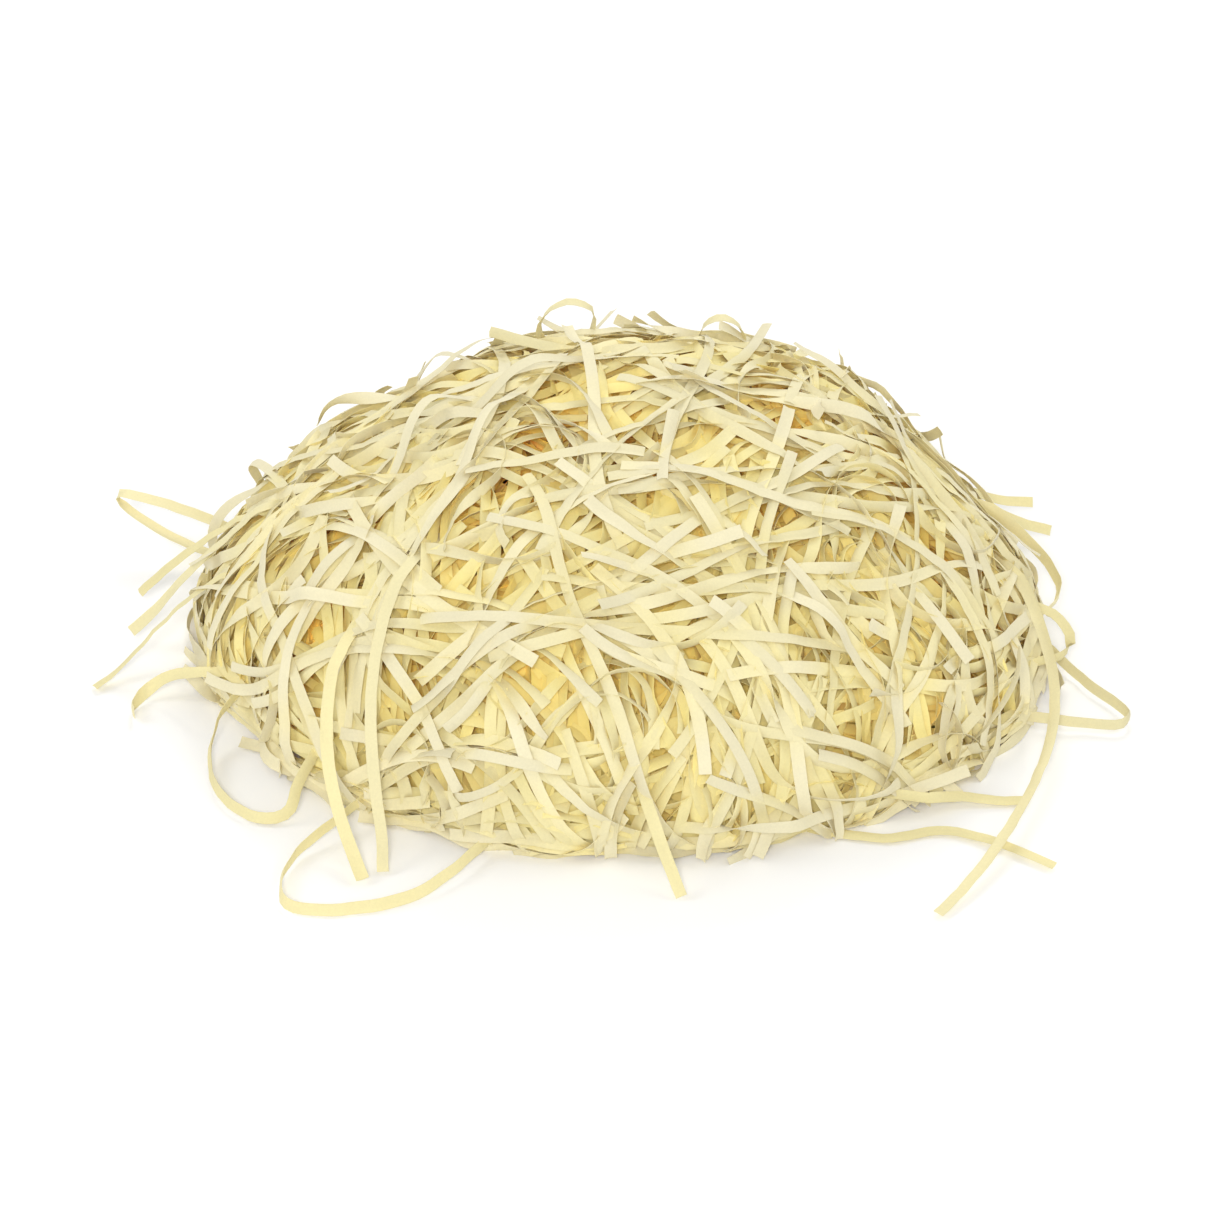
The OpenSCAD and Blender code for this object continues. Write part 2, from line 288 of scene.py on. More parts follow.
def bridged(ground, reach):
    """The least height over the ground that bends down no faster than a circle of radius reach,
    smoothed."""
    s = STEP * np.arange(len(ground))
    arcs = ground[None, :] - (s[:, None] - s[None, :]) ** 2 / (2 * reach)
    top = arcs.max(1)
    padded = np.pad(top, 2, mode="edge")
    weights = (0.1, 0.22, 0.36, 0.22, 0.1)
    smooth = sum(w * padded[k:k + len(top)] for k, w in enumerate(weights))
    return np.maximum(smooth, ground)


def frame_of(path):
    """The directions straight out, and across, at each point of a path on the mound."""
    n = outward(*place_of(path))
    return n, unit(np.cross(n, unit(np.gradient(path, axis=0))))


def lay(pile, path, roll, reach):
    """Lays one shred over the pile along a path. Returns how far out each of its points lies."""
    n, w = frame_of(path)
    spread = np.linspace(-0.5, 0.5, 5) * SHRED_W
    ground = np.max([
        pile.height(path + (v * np.cos(roll))[:, None] * w) + TILT_ROOM * np.abs(v * np.sin(roll))
        for v in spread
    ], axis=0)
    out = bridged(ground, reach) + SHRED_T
    fine = np.linspace(0, len(path) - 1, 3 * len(path))
    k = np.arange(len(path))
    fine_path = np.stack([np.interp(fine, k, path[:, c]) for c in range(3)], 1)
    fine_w = np.stack([np.interp(fine, k, w[:, c]) for c in range(3)], 1)
    fine_out, fine_roll = np.interp(fine, k, out), np.interp(fine, k, roll)
    for v in spread:
        pile.cover(
            fine_path + (v * np.cos(fine_roll))[:, None] * fine_w,
            fine_out + TILT_ROOM * v * np.sin(fine_roll) + SHRED_T,
        )
    return out


class Shred:
    """One shred: its centre line, the directions of its width, its tone and how deep it lies."""

    def __init__(self, points, sides, tone, depth):
        self.points, self.sides, self.tone, self.depth = points, sides, tone, depth


def flow(slope, heading):
    """The direction that most shreds lie in, as an angle from downhill, by place."""
    h = np.radians(heading)
    return 16 * np.sin(2 * h + 0.6) + 12 * np.sin(3 * h - 1.0 + slope / 40)


def heap_turns(slope, heading, outer):
    """Directions that shreds lie in, as angles from downhill. Most go with the flow, some aslant to
    it and a few across it. outer is 0 for the first laid, 1 for the last."""
    count = len(slope)
    kind, sign = rng.random(count), rng.choice([-1, 1], count)
    turn = flow(slope, heading) + rng.normal(0, 15, count)
    turn = np.where(kind > 0.62 + 0.06 * outer, sign * rng.normal(38, 13, count), turn)
    turn = np.where(kind > 0.90 + 0.03 * outer, sign * rng.normal(80, 14, count), turn)
    along_foot = (slope > 75) & (rng.random(count) < 0.5)
    turn = np.where(along_foot, sign * rng.normal(86, 9, count), turn)
    along_crown = (slope < 40) & (rng.random(count) < 0.6)
    turn = np.where(along_crown, rng.normal(6, 24, count) - heading, turn)
    return np.radians(turn)


# The shreds that show whole on top of the heap: the slope and heading of both ends, and how far
# each bows aside as a share of its length
TOPMOST = [
    ((22, 205), (10, -70), 0.05),
    ((12, 60), (30, -8), -0.04),
    ((24, 70), (36, 95), 0.03),
    ((34, 150), (16, 60), -0.06),
    ((38, 118), (22, -160), 0.10),
    ((14, -95), (36, -28), 0.08),
    ((12, -88), (44, -18), -0.03),
    ((26, -130), (58, -60), 0.05),
    ((38, -170), (46, -104), -0.10),
    ((30, -30), (66, -22), 0.12),
    ((34, -48), (60, -44), -0.05),
    ((44, -128), (50, -48), -0.06),
    ((48, -140), (70, -112), 0.05),
    ((30, -96), (64, -78), 0.10),
    ((42, -84), (78, -70), 0.04),
    ((50, -20), (80, -34), 0.10),
    ((28, 10), (62, -12), 0.08),
    ((36, 20), (70, 8), -0.06),
    ((40, 172), (72, -164), 0.06),
    ((30, 165), (66, 158), 0.08),
    ((50, -150), (82, -140), -0.04),
    ((56, -98), (84, -92), 0.03),
]


def bundles(count):
    """Numbers of shreds that were cut together and lie side by side, for at least count shreds."""
    sizes = []
    while sum(sizes) < count:
        sizes.append(int(rng.choice([1, 2, 3, 4, 6], p=[0.38, 0.2, 0.18, 0.14, 0.1])))
    return sizes


def random_roll(along, curve):
    """How a shred turns about its own line: with its bends, at random, and sometimes right over."""
    roll = np.arctan(28 * curve) + waves(along, 70, rng.uniform(0.1, 0.42)) + rng.normal(0, 0.15)
    if rng.random() < 0.14:
        middle, width = rng.uniform(0, along[-1]), rng.uniform(4, 8)
        roll += np.pi * np.sign(rng.normal()) / (1 + np.exp((middle - along) / width))
    return roll


def random_lift(along):
    """How far a shred springs off those below: bows, arches, and ends that peel away."""
    lift = np.maximum(0, waves(along, 60, rng.exponential(0.5)))
    if rng.random() < 0.35:
        end = along if rng.random() < 0.5 else along[::-1]
        lift += rng.uniform(2, 8) * np.clip(1 - end / rng.uniform(14, 26), 0, 1) ** 2
    if rng.random() < 0.14:
        lift += rng.uniform(2, 7) * bump(along, rng.uniform(0, along[-1]), rng.uniform(8, 15))
    return lift


def heap_try(sizes, owner, member, outer):
    """A path for every shred of the heap, whether each of its points is part of the shred, and its
    curvature. Those of a bundle start side by side and bend alike."""
    total = len(owner)
    s = STEP * np.arange(LONGEST)
    slope = np.minimum(88 * rng.random(len(sizes)) ** 0.56, 87.5)[owner]
    heading = rng.uniform(-180, 180, len(sizes))[owner]
    leads = member == 0
    turn = heap_turns(slope[leads], heading[leads], outer[leads])[owner]
    turn = turn + np.radians(rng.normal(0, 5, total)) * (member > 0)
    shared = np.stack([waves(s, 80, 1 / 85) for _ in sizes])
    curls = rng.random(len(sizes)) < 0.4
    shared[curls] *= rng.uniform(2.0, 5.0, (int(curls.sum()), 1))
    bend = shared[owner] + np.stack([waves(s, 100, 1 / 420) for _ in range(total)])
    half_steps = rng.uniform(10, LONGEST / 2, total).astype(int)
    middle = at(slope, heading, 0 * slope)
    down = downhill(slope, heading)
    aside = np.cross(outward(slope, heading), down)
    along = np.cos(turn)[:, None] * down + np.sin(turn)[:, None] * aside
    beside = np.cos(turn)[:, None] * aside - np.sin(turn)[:, None] * down
    shift = member * rng.uniform(2.4, 5.0, total)
    slip = rng.normal(0, 9, total) * (member > 0)
    middle = middle + shift[:, None] * beside + slip[:, None] * along
    slope, heading = place_of(middle)
    paths, live = grow(np.minimum(slope, 87.5), heading, turn, bend, half_steps)
    return paths, live, np.concatenate([bend, bend[:, -1:]], 1)


def lay_heap(pile, count):
    """Lays the heap's shreds bundle by bundle, each where the pile is lowest among a few tries."""
    sizes = bundles(count)
    owner = np.repeat(np.arange(len(sizes)), sizes)
    total = len(owner)
    outer = np.arange(total) / total
    member = np.arange(total) - np.repeat(np.cumsum(sizes) - sizes, sizes)
    tries = [heap_try(sizes, owner, member, outer) for _ in range(TRIES)]
    laid = []
    first = 0
    for size in sizes:
        group = range(first, first + size)
        first += size
        paths, lives, bends = min(tries, key=lambda one: mean_height(pile, one, group))
        for n in group:
            live = lives[n]
            if live.sum() < SHORTEST:
                continue
            path, curve = paths[n][live], bends[n][live]
            along = STEP * np.arange(len(path))
            roll = random_roll(along, curve)
            out = lay(pile, path, roll, rng.uniform(10, 45))
            laid.append((path, roll, out, random_lift(along), outer[n]))
    laid += lay_topmost(pile)
    pile.settle()
    return [settled_shred(pile, *one) for one in laid]


def lay_topmost(pile):
    """Lays the longest shreds that show whole, on top of all the others."""
    laid = []
    count = 60
    t = np.linspace(0, 1, count)[:, None]
    for first, last, bow in TOPMOST:
        # a bowed line on the chart
        a, b = (
            np.array([slope * math.cos(math.radians(h)), slope * math.sin(math.radians(h))])
            for slope, h in (first, last)
        )
        line = a * (1 - t) + b * t
        line = line + bow * np.sin(np.pi * t) * np.array([a[1] - b[1], b[0] - a[0]])
        slope, heading = np.hypot(*line.T), np.degrees(np.arctan2(line[:, 1], line[:, 0]))
        path, _ = evenly(at(slope, heading, 0 * slope), np.zeros((count, 3)))
        along = STEP * np.arange(len(path))
        roll = waves(along, 80, 0.16)
        lift = np.maximum(0, waves(along, 70, 0.7))
        laid.append((path, roll, lay(pile, path, roll, 25.0), lift, 1.0))
    return laid


def mean_height(pile, one, group):
    """How high the pile is on average under a try's bundle."""
    paths, lives, _ = one
    heights = [pile.height(paths[n][lives[n]]).mean() for n in group if lives[n].sum() >= SHORTEST]
    return np.mean(heights) if heights else math.inf


FREE_FROM, FREE_OVER = 0.7, 0.2  # the orders over which shreds become free to spring up


def settled_shred(pile, path, roll, out, lift, order):
    """A laid shred where the settled pile has it. Only the outer ones are free to spring up. order
    is 0 for the first laid, 1 for the last."""
    n, w = frame_of(path)
    out, depth = pile.settled(path, out)
    lift = lift * np.clip((order - FREE_FROM) / FREE_OVER, 0, 1)
    depth = depth - lift
    points = path + (out + lift)[:, None] * n
    points[:, 2] = np.minimum(points[:, 2], HIGHEST)
    lowest = 0.5 * SHRED_T + 0.5 * SHRED_W * np.abs(np.sin(roll))
    points[:, 2] = np.maximum(points[:, 2], lowest)
    sides = np.cos(roll)[:, None] * w + np.sin(roll)[:, None] * n
    shred = Shred(points, sides, rng.random(), depth)
    slope, heading = place_of(path[len(path) // 2])
    down = downhill(np.clip(slope, 1, 89), heading)
    line = path[-1] - path[0]
    angle = math.degrees(math.atan2(line @ np.cross(outward(slope, heading), down), line @ down))
    shred.slope, shred.heading, shred.turn = slope, heading, (angle + 90) % 180 - 90
    shred.order = order
    return shred


# ---------- Meshes ----------

RING = 6  # corners of a section
# Share of the way round a section at each of its corners, and at the first again
ROUND = np.array([0.0, 0.235, 0.47, 0.5, 0.735, 0.97, 1.0])
CAP_WIDTH = 0.008  # of an end of a shred on its map


def crinkled(points, sides):
    """The points with the small folds that paper keeps."""
    s = STEP * np.arange(len(points))
    normal = unit(np.cross(unit(np.gradient(points, axis=0)), sides))
    return points + waves(s, 9, 0.11)[:, None] * normal


CUP = 0.28  # how far a shred's middle stands off its edges, at most
FLOOR_GAP = 0.02  # the lower face of a shred stays this far above the floor


def sections(shred):
    """The six corners of each section of a shred: three across on each face."""
    points = crinkled(shred.points, shred.sides)
    t = unit(np.gradient(points, axis=0))
    side = unit(shred.sides - (shred.sides * t).sum(-1, keepdims=True) * t)
    normal = np.cross(t, side)
    s = STEP * np.arange(len(points))
    cup = CUP * np.sin(2 * np.pi * s / 90 + 6 * shred.tone)
    width = SHRED_W * (0.82 + 0.2 * shred.tone + 0.03 * np.sin(s / 7 + 9 * shred.tone))
    corners = []
    for k, v in enumerate((-0.5, 0.0, 0.5, 0.5, 0.0, -0.5)):
        face = 0.5 if k < 3 else -0.5
        rise = face * SHRED_T + (cup if v == 0 else -cup)
        corners.append(points + (v * width)[:, None] * side + rise[:, None] * normal)
    corners = np.stack(corners, 1)
    upper = np.arange(RING) < 3
    corners[..., 2] = np.maximum(corners[..., 2], FLOOR_GAP * (1 + upper))
    return corners


def shred_faces(count):
    """The faces of a shred of count sections: its sides in rings, then both ends."""
    i = np.arange(count - 1)[:, None] * RING
    k = np.arange(RING)[None, :]
    k2 = (k + 1) % RING
    quads = np.stack([i + k, i + k2, i + RING + k2, i + RING + k], -1).reshape(-1, 4)
    end = (count - 1) * RING
    caps = np.array([
        [0, 5, 4, 1], [1, 4, 3, 2],
        [end, end + 1, end + 4, end + 5], [end + 1, end + 2, end + 3, end + 4],
    ])
    return np.concatenate([quads, caps])


def shred_map(n, count, columns, rows):
    """The places of those faces on the map, where shred n has a cell of its own."""
    u = (np.arange(count) / (count - 1) * 0.95 + 0.025) / columns + (n % columns) / columns
    v = (ROUND * 0.84 + 0.08) / rows + (n // columns) / rows
    ua = np.repeat(u[:-1, None], RING, 1)
    ub = np.repeat(u[1:, None], RING, 1)
    va = np.repeat(v[None, :-1], count - 1, 0)
    vb = np.repeat(v[None, 1:], count - 1, 0)
    places = [np.stack([ua, va, ua, vb, ub, vb, ub, va], -1).reshape(-1, 2)]
    for edge, sign in ((u[0], -1), (u[-1], 1)):
        tip = edge + sign * CAP_WIDTH / columns
        for low, high in ((v[0], v[1]), (v[1], v[2])):
            cap = [edge, low, tip, low, tip, high, edge, high]
            if sign > 0:
                cap = [edge, low, edge, high, tip, high, tip, low]
            places.append(np.array(cap).reshape(-1, 2))
    return np.concatenate(places)


def shred_mesh(name, shreds):
    """One mesh of closed shreds, with their tone and depth and a map of them side by side."""
    verts, faces, tones, depths, maps = [], [], [], [], []
    columns = 2
    rows = math.ceil(len(shreds) / columns)
    first = 0
    for n, shred in enumerate(shreds):
        corners = sections(shred)
        count = len(corners)
        verts.append(corners.reshape(-1, 3))
        faces.append(shred_faces(count) + first)
        tones.append(np.full(count * RING, shred.tone))
        depths.append(np.repeat(shred.depth, RING))
        maps.append(shred_map(n, count, columns, rows))
        first += count * RING
    mesh = bpy.data.meshes.new(name)
    verts = np.concatenate(verts) * MM
    faces = np.concatenate(faces)
    mesh.vertices.add(len(verts))
    mesh.vertices.foreach_set("co", verts.astype(np.float32).ravel())
    mesh.loops.add(faces.size)
    mesh.loops.foreach_set("vertex_index", faces.astype(np.int32).ravel())
    mesh.polygons.add(len(faces))
    mesh.polygons.foreach_set("loop_start", (4 * np.arange(len(faces))).astype(np.int32))
    mesh.update(calc_edges=True)
    for label, values in (("tone", tones), ("depth", depths)):
        layer = mesh.attributes.new(label, "FLOAT", "POINT")
        layer.data.foreach_set("value", np.concatenate(values).astype(np.float32))
    layer = mesh.uv_layers.new(name="OFBake")
    layer.data.foreach_set("uv", np.concatenate(maps).astype(np.float32).ravel())
    mesh.polygons.foreach_set("use_smooth", np.ones(len(faces), bool))
    mesh.set_sharp_from_angle(angle=math.radians(50))
    mesh.validate()
    return mesh


def piece(node, shreds, papers):
    """A shown piece made of shreds, which stands for a CAD node and rides on the node's body."""
    cad = frame["nodes"][node]
    slot = cad.data.materials[0].name
    name = node.replace("_shreds", "") + "_paper"
    thing = bpy.data.objects.new(name, shred_mesh(name, shreds))
    bpy.context.scene.collection.objects.link(thing)
    thing.data.materials.append(papers[slot])
    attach(thing, cad["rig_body"])
    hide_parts(node)
    return thing


# ---------- Materials ----------

# Painted light by depth: the shreds that spring up from the heap are painted paler and a little
# darker, a painted shade that evens out the fuller light that reaches them.
PALEST = (0.80, 0.735, 0.495)  # where a shred springs up from the heap
# Painted light: shreds deep in the heap are painted brighter and warmer than the paper is. This
# stands in for light that comes through many layers of tissue, and it lifts the shade in the gaps
# between shreds.
DEEP_PAINTED_LIGHT = (1.0, 0.79, 0.19)  # deep in the heap, where light comes through many layers
# Each slot's colour at the heap's surface, and its painted light deep in the heap
COLOURS = {
    "packed_paper": ((0.95, 0.79, 0.30), (1.0, 0.79, 0.20)),
    "inner_paper": ((0.88, 0.77, 0.325), DEEP_PAINTED_LIGHT),
    "ivory_paper": ((0.86, 0.76, 0.345), DEEP_PAINTED_LIGHT),
    "pale_paper": ((0.84, 0.755, 0.40), (0.99, 0.81, 0.26)),
}


def paper(name, colour, deep_painted_light):
    """Tissue paper: matt with a faint sheen and fine grain, with light painted by depth: paler
    where a shred springs up, warmer and brighter where it lies deep.
    """
    material = bpy.data.materials.new(name)
    material.use_nodes = True
    tree = material.node_tree
    tree.nodes.clear()
    link = tree.links.new

    def new(kind, **values):
        """A node with values on its named inputs."""
        node = tree.nodes.new("ShaderNode" + kind)
        for key, value in values.items():
            node.inputs[key.replace("_", " ")].default_value = value
        return node

    def attribute(label):
        node = new("Attribute")
        node.attribute_name = label
        return node.outputs["Fac"]

    def ramp(value, **ends):
        node = new("MapRange", **ends)
        link(value, node.inputs["Value"])
        return node.outputs["Result"]

    def noise(**values):
        node = new("TexNoise", **values)
        link(place.outputs["Object"], node.inputs["Vector"])
        return node.outputs["Fac"]

    def mix(share):
        node = tree.nodes.new("ShaderNodeMix")
        node.data_type = "RGBA"
        link(share, node.inputs["Factor"])
        return node

    place = new("TexCoord")
    tone, depth = attribute("tone"), attribute("depth")
    grain = noise(Scale=1500, Detail=3, Roughness=0.6)
    cloud = noise(Scale=90, Detail=2)

    # how light the paper is: each shred's own tone, faint clouds, and the grain
    shade = new("Math")
    shade.operation = "MULTIPLY_ADD"
    shade.inputs[1].default_value = 0.10
    link(tone, shade.inputs[0])
    link(ramp(cloud, To_Min=0.86, To_Max=0.95), shade.inputs[2])
    both = new("Math")
    both.operation = "MULTIPLY"
    link(shade.outputs[0], both.inputs[0])
    link(ramp(grain, From_Min=0.3, From_Max=0.7, To_Min=0.965, To_Max=1.03), both.inputs[1])

    # the palest colour above the heap, the slot's own at its surface, and below it the painted
    # light of the deep shreds, brighter and warmer; in mm
    face = mix(ramp(depth, From_Min=-2.0, From_Max=1.2))
    face.inputs["A"].default_value = (*PALEST, 1)
    face.inputs["B"].default_value = (*colour, 1)
    tint = new("VectorMath")
    tint.operation = "SCALE"
    link(face.outputs["Result"], tint.inputs["Vector"])
    link(both.outputs[0], tint.inputs["Scale"])
    # painted light: the deeper a shred lies, the more it takes the brighter, warmer colour that
    # stands in for light through the layers above it
    base = mix(ramp(depth, From_Min=0.8, From_Max=7.0))
    base.inputs["B"].default_value = (*deep_painted_light, 1)
    link(tint.outputs["Vector"], base.inputs["A"])

    relief = new("Bump", Strength=0.25, Distance=0.0002)
    link(grain, relief.inputs["Height"])
    shader = new("BsdfPrincipled", Roughness=0.62, Specular_IOR_Level=0.25,
                 Sheen_Weight=0.12, Sheen_Roughness=0.5)
    link(base.outputs["Result"], shader.inputs["Base Color"])
    link(relief.outputs["Normal"], shader.inputs["Normal"])
    link(shader.outputs[0], new("OutputMaterial").inputs["Surface"])
    return material


def floor_material():
    """Plain pale paper board, faintly uneven."""
    material = bpy.data.materials.new("floor")
    material.use_nodes = True
    tree = material.node_tree
    shader = tree.nodes["Principled BSDF"]
    shader.inputs["Roughness"].default_value = 0.85
    noise = tree.nodes.new("ShaderNodeTexNoise")
    noise.inputs["Scale"].default_value = 6
    ramp = tree.nodes.new("ShaderNodeMapRange")
    ramp.inputs["To Min"].default_value = 0.93
    ramp.inputs["To Max"].default_value = 0.96
    tree.links.new(noise.outputs["Fac"], ramp.inputs["Value"])
    tree.links.new(ramp.outputs["Result"], shader.inputs["Base Color"])
    return material


# ---------- The heap ----------

SIDES = ["right", "back", "left", "front"]

# How the shreds are sorted into the CAD's groups: by order (0 for the first laid, 1 for the last),
# by slope, and by their angle from downhill
TANGLE_BELOW = 0.42
UPPER_CROWN_FROM = 0.8
UPPER_FOOT_FROM = 0.7
CROWN_SLOPE = 34
FOOT_SLOPE = 79
ALONG_FOOT = 55
STRAIGHT_DOWN = 24


def node_of(shred):
    """The CAD node whose group a shred of the heap belongs to."""
    if shred.order < TANGLE_BELOW:
        return "packed_tangle"
    if shred.slope < CROWN_SLOPE:
        return "lower_crown_shreds" if shred.order < UPPER_CROWN_FROM else "upper_crown_shreds"
    if shred.slope > FOOT_SLOPE and abs(shred.turn) > ALONG_FOOT:
        return "lower_foot_shreds" if shred.order < UPPER_FOOT_FROM else "upper_foot_shreds"
    side = SIDES[int(((shred.heading + 45) % 360) // 90)]
    if abs(shred.turn) < STRAIGHT_DOWN:
        return side + "_drape_shreds"
    return side + ("_slant_shreds" if shred.turn > 0 else "_counter_slant_shreds")


def build_heap(papers):
    """Every shred of the heap, in the CAD's groups."""
    groups = {}
    for shred in lay_heap(Pile(), SHREDS):
        groups.setdefault(node_of(shred), []).append(shred)
    for node, shreds in sorted(groups.items()):
        piece(node, shreds, papers)


# ---------- Loose shreds ----------

# Each loose shred's places on the mound (slope, heading and out), and the directions that its width
# turns from and to along it, as the CAD has them
LOOSE = {
    "top_left_loop": (
        [[33, 109, 2.5], [30, 109, 9.5], [28.5, 102.5, 13.5], [28.5, 96, 10], [31, 97, 2.5]],
        [0.7, 1, 0], [-0.5, 1, 0.2]),
    "top_right_loop": (
        [[31, 69, 2], [29, 67, 8], [28.5, 62, 12], [30.5, 57.5, 9], [33, 58.5, 2.5]],
        [0.5, 1, 0], [-0.7, 1, 0.2]),
    "top_left_end": (
        [[20, 103, 2], [23, 111, 3], [27, 118, 5.5], [31, 122.5, 9]],
        [0.3, 1, 0.3], [0, 0.6, 0.8]),
    "left_hairpin_loop": (
        [[80, 157.5, 2], [78, 158.5, 12], [77, 159.5, 27], [77.5, 160.3, 38],
         [80, 161, 29], [82.5, 161.5, 15], [84.5, 161.5, 2]],
        [0, 1, 0.4], [0, 1, 0]),
    "left_upper_end": (
        [[61, 171, 1.5], [68, 172, 6], [74, 173.5, 11], [81.5, 175, 17]],
        [0, 1, 0], [0.2, 0.6, 0.7]),
    "left_broad_end": (
        [[54, 176, 3], [62, 177.5, 4], [70, 179.5, 7.5], [78, 181, 11.5], [83.5, 182, 17]],
        [0.2, 1, 0.2], [0.3, 0.5, 0.8]),
    "left_low_end": (
        [[64, 185, 2], [72, 185.5, 8], [81, 187, 15], [86, 188.5, 21], [88.4, 190, 27]],
        [0.1, 1, 0], [0.3, 1, 0.1]),
    "left_curled_end": (
        [[77, 197, 1.5], [81.5, 193.5, 7], [86, 193, 13], [87.5, 195, 18], [86, 197.5, 19]],
        [0.1, 1, 0.3], [0, 0.2, 1]),
    "front_left_curl": (
        [[79, 206, 1.5], [85, 209, 6], [86.7, 216, 12], [86.7, 223, 12], [85.5, 226, 6],
         [80, 225, 1.5]],
        [0.4, 0.4, 1], [-0.2, 0.6, 0.8]),
    "front_left_table_loop": (
        [[83, 232.5, 2], [86.4, 231.5, 14], [87, 233, 25], [87.2, 235.5, 32],
         [87.3, 238.5, 31], [87.2, 243, 24], [87, 247, 15], [85.5, 249.5, 6]],
        [0.3, 0.3, 1], [0, 0.5, 1]),
    "front_left_straight_end": (
        [[40, 223, 2], [54, 230, 2.5], [68, 236, 3], [80, 240, 5], [88, 241.7, 9]],
        [1, -0.3, 0], [1, 0, 0]),
    "front_left_slanting_end": (
        [[56, 224, 5], [67, 229.5, 7], [77, 234.5, 8.5], [83.5, 238, 11], [87.4, 240.5, 14.5]],
        [1, -0.6, 0], [1, 0.3, 0]),
    "front_wisp": (
        [[74, 275, 1.5], [82, 276.5, 2.5], [88, 277.5, 6]],
        [1, 0.2, 0], [1, 0, 0.3]),
    "front_right_long_end": (
        [[66, -3, 2], [73, -10, 4], [78, -18, 8], [81, -26, 12], [83, -34, 16],
         [84.5, -42, 21], [86.5, -50, 27], [88.3, -57.5, 33]],
        [0.5, 0.6, 0.6], [1, 0.5, 0.1]),
    "front_right_table_end": (
        [[87.5, -54, 3], [88, -48, 8], [88.2, -45, 20], [88.4, -43.5, 37]],
        [0.2, 1, 0.2], [1, 1, 0]),
    "front_right_low_end": (
        [[82, -47, 1.5], [85.5, -42, 3.5], [87.7, -39, 9], [88, -36.5, 15]],
        [0.2, 1, 0.2], [0.3, 1, 0]),
    "right_upper_end": (
        [[74, 30, 1.5], [78.5, 28, 8], [80.5, 26, 17]],
        [0.2, 1, 0], [0, 0.8, 0.6]),
    "right_lower_end": (
        [[73, 23.5, 1.5], [79, 22, 8], [83, 21, 16]],
        [0.1, 1, 0.2], [0, 0.6, 0.8]),
    "right_arc": (
        [[69, 19, 1.5], [74.5, 14.5, 5], [78, 9, 8], [79, 4, 7.5], [78.5, 0, 3.5]],
        [0.3, 0.2, 1], [0.4, -0.2, 1]),
    "right_folded_shred": (
        [[84, -5.5, 2], [86.6, -8, 7], [87, -12, 15], [87.2, -15.5, 25], [87, -17.3, 26.5],
         [86.8, -18.8, 24], [86.6, -19.8, 14], [85.5, -21, 5]],
        [0.3, 0.5, 1], [0, 0.5, 1]),
    "right_small_loop": (
        [[73, -3.5, 2], [75.5, -4.5, 6.5], [79, -6.5, 9], [81.5, -8.5, 7], [80.5, -11, 2.5]],
        [0.3, 1, 0.3], [0.5, 0.3, 1]),
    "back_left_loop": (
        [[76, 122, 2], [77.5, 121, 9], [79, 118, 14], [81.5, 115, 9.5], [82, 114, 2]],
        [1, 0.5, 0.3], [1, -0.3, 0.5]),
    "back_right_end": (
        [[66, 70, 1.5], [75, 69, 5], [83, 67, 9], [87, 64.5, 15]],
        [1, 0, 0.2], [1, 0.4, 0]),
}
# Those that go back into the heap with their other end too
BOTH_ENDS_ROOTED = {
    "top_left_loop", "top_right_loop", "left_hairpin_loop", "front_left_curl",
    "front_left_table_loop", "right_arc", "right_folded_shred", "right_small_loop",
    "back_left_loop",
}
ROOT = 26.0  # length of a loose shred inside the heap
ROOT_LOWEST = 1.0  # a root's centre line stays this far above the floor
CLEAR = 0.3  # the rest of a loose shred stays this far above it


def smooth_curve(places, steps=12):
    """Points close together on a smooth curve through places."""
    rows = np.array(places, float)
    rows = np.concatenate([[2 * rows[0] - rows[1]], rows, [2 * rows[-1] - rows[-2]]])
    t = (np.arange(steps) / steps)[:, None]
    found = []
    for i in range(len(rows) - 3):
        a, b, c, d = rows[i:i + 4]
        cube = 1.5 * (b - c) + (d - a) / 2
        square = a - 2.5 * b + 2 * c - d / 2
        found.append(b + t * ((c - a) / 2 + t * (square + t * cube)))
    found.append(rows[-2:-1])
    return np.concatenate(found)


def evenly(points, sides):
    """The same line with its points STEP apart."""
    length = np.concatenate([[0], np.cumsum(np.linalg.norm(np.diff(points, axis=0), axis=1))])
    s = np.linspace(0, length[-1], max(6, round(length[-1] / STEP) + 1))
    return tuple(
        np.stack([np.interp(s, length, rows[:, c]) for c in range(3)], 1)
        for rows in (points, sides)
    )


def rooted(points, sides):
    """The line with its first end carried on into the heap."""
    start = points[0]
    inward = -outward(*place_of(start))
    back = unit(start - points[1])
    s = np.arange(STEP, ROOT, STEP)[::-1, None]
    root = start + s * unit(back + 0.35 * inward) + inward * s ** 2 / (3 * ROOT)
    root[:, 2] = np.maximum(root[:, 2], ROOT_LOWEST)
    root_sides = np.repeat(sides[:1], len(root), 0)
    return np.concatenate([root, points]), np.concatenate([root_sides, sides])


def loose_shred(node, places, first_side, last_side):
    """A loose shred where the CAD has it, with its roots in the heap."""
    rows = smooth_curve(places)
    points = at(rows[:, 0], rows[:, 1], rows[:, 2])
    t = np.linspace(0, 1, len(rows))[:, None]
    sides = np.array(first_side, float) * (1 - t) + np.array(last_side, float) * t
    points, sides = evenly(points, sides)
    points, sides = rooted(points, sides)
    if node in BOTH_ENDS_ROOTED:
        points, sides = (rows[::-1] for rows in rooted(points[::-1], sides[::-1]))
    points, sides = evenly(points, sides)
    along = unit(np.gradient(points, axis=0))
    sides = unit(sides - (sides * along).sum(-1, keepdims=True) * along)
    lowest = 0.5 * SHRED_T + 0.5 * SHRED_W * np.abs(sides[:, 2]) + CLEAR
    points[:, 2] = np.maximum(points[:, 2], lowest)
    return Shred(points, sides, rng.random(), np.zeros(len(points)))


def build_loose(papers):
    """Every loose shred, as a piece of its own."""
    for node, (places, first_side, last_side) in LOOSE.items():
        piece(node, [loose_shred(node, places, first_side, last_side)], papers)


# ---------- Floor, light and camera ----------

FLOOR_HALF = 3.0
SKY = 0.56  # strength of the even light from all round
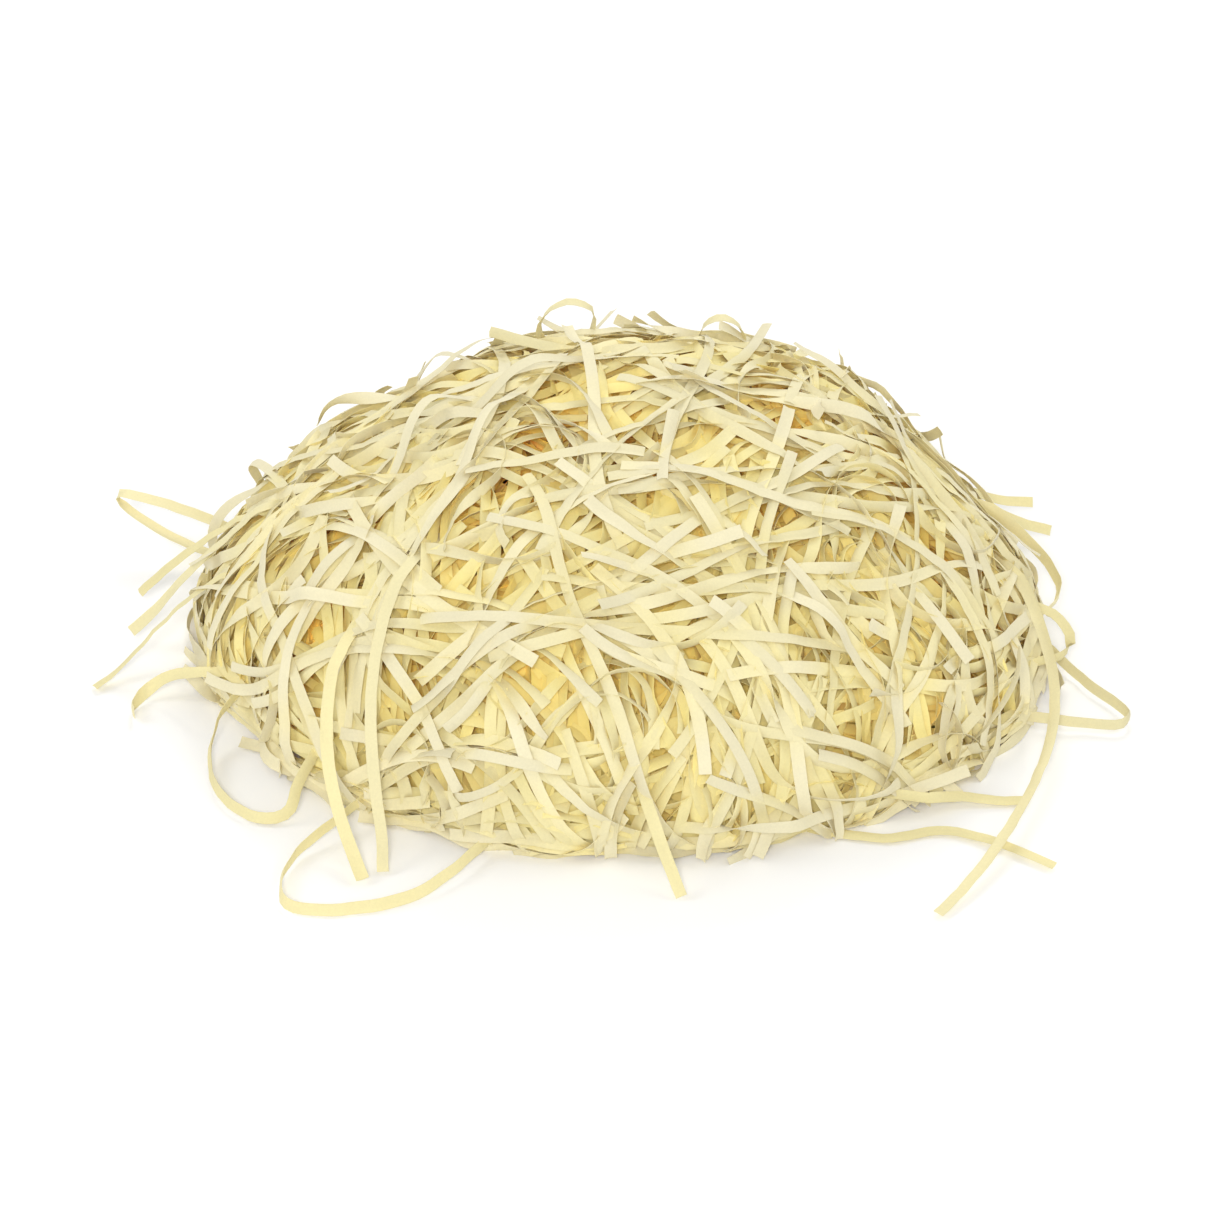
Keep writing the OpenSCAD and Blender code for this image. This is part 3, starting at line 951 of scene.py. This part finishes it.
# Soft discs of light: place, diameter and power. The front one is near the camera's direction, so
# that it reaches into the gaps between the shreds.
LIGHTS = {
    "front_light": ((-0.08, -1.08, 0.92), 0.35, 8.6),
    "back_light": ((0.1, 1.08, 0.92), 0.6, 6.0),
    "left_light": ((-1.1, 0.0, 0.92), 0.6, 3.4),
    "right_light": ((1.1, 0.0, 0.92), 0.6, 3.0),
}
LIT_POINT = (0, 0, 0.03)
CAMERA_ELEVATION = math.radians(38)
CAMERA_DISTANCE = 1.0
CAMERA_FIELD = math.radians(19.3)
LOOKED_AT = (-0.0028, 0, 0.0117)


def staged(name, data):
    """An object in the scene that is no piece of the part."""
    thing = bpy.data.objects.new(name, data)
    bpy.context.scene.collection.objects.link(thing)
    return thing


def look(thing, along):
    """Turns a lamp or a camera to look along a direction."""
    thing.rotation_mode = "QUATERNION"
    thing.rotation_quaternion = Vector(along).to_track_quat("-Z", "Y")


def build_floor():
    """The pale floor."""
    floor = bpy.data.meshes.new("floor")
    h = FLOOR_HALF
    floor.from_pydata([(-h, -h, 0), (h, -h, 0), (h, h, 0), (-h, h, 0)], [], [(0, 1, 2, 3)])
    floor.materials.append(floor_material())
    staged("floor", floor)


def build_lights():
    """An even white sky and the discs of light."""
    world = bpy.data.worlds.new("studio")
    world.use_nodes = True
    sky = world.node_tree.nodes["Background"]
    sky.inputs["Color"].default_value = (1.0, 1.0, 1.0, 1)
    sky.inputs["Strength"].default_value = SKY
    bpy.context.scene.world = world
    for name, (place, size, power) in LIGHTS.items():
        light = bpy.data.lights.new(name, "AREA")
        light.shape = "DISK"
        light.size = size
        light.energy = power
        lamp = staged(name, light)
        lamp.location = place
        look(lamp, np.array(LIT_POINT) - np.array(place))


def build_camera():
    """The camera, which looks down at the front."""
    back = Vector((0, -math.cos(CAMERA_ELEVATION), math.sin(CAMERA_ELEVATION)))
    camera = bpy.data.cameras.new("camera")
    camera.sensor_width = 36
    camera.lens = camera.sensor_width / 2 / math.tan(CAMERA_FIELD / 2)
    thing = staged("camera", camera)
    thing.location = Vector(LOOKED_AT) + back * CAMERA_DISTANCE
    look(thing, -back)
    bpy.context.scene.camera = thing


def set_view():
    """Colours as they are, and light that bounces deep into the heap."""
    scene = bpy.context.scene
    scene.view_settings.view_transform = "Standard"
    scene.cycles.max_bounces = 32
    scene.cycles.diffuse_bounces = 24


papers = {name: paper(name, *colours) for name, colours in COLOURS.items()}
build_heap(papers)
build_loose(papers)
build_floor()
build_lights()
build_camera()
set_view()
